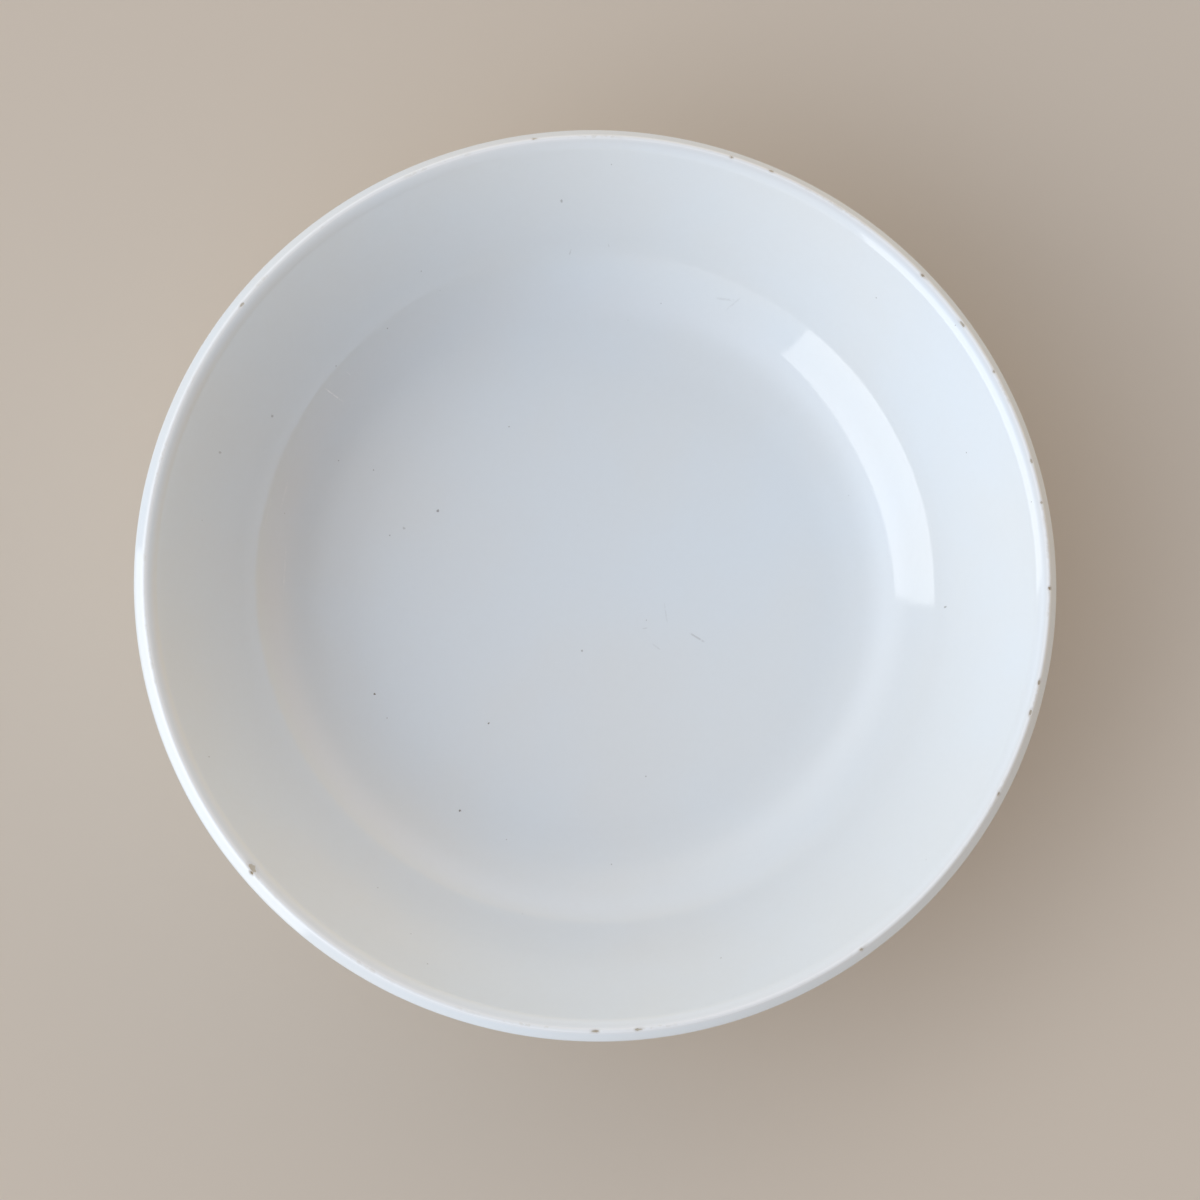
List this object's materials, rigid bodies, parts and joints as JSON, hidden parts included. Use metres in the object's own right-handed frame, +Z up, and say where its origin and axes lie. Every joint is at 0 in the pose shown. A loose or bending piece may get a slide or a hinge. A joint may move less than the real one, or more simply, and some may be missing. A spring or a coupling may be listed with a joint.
{
  "type": "serving bowl",
  "caption": "Round open serving bowl with a curved wall, a rounded lip, a shallow dished floor and a bare foot ring under white glaze.",
  "frame": {"origin": "centre of the foot ring's contact face, at table level", "axes": "+Z up the bowl's turning axis, out of its mouth; +X and +Y level, in no special direction because the bowl is round"},
  "size_m": [0.22, 0.22, 0.0509],
  "materials": {
    "biscuit": "unglazed fired clay, dry and slightly sandy, greyed where it has rubbed on shelves",
    "white_glaze": "glossy white glaze with a few dark iron specks, faint turning rings and small worn spots on the lip"
  },
  "bodies": {
    "root": {"bowl_body": "biscuit", "foot_ring": "biscuit", "glaze_coat": "white_glaze", "base_glaze": "white_glaze"}
  },
  "joints": []
}
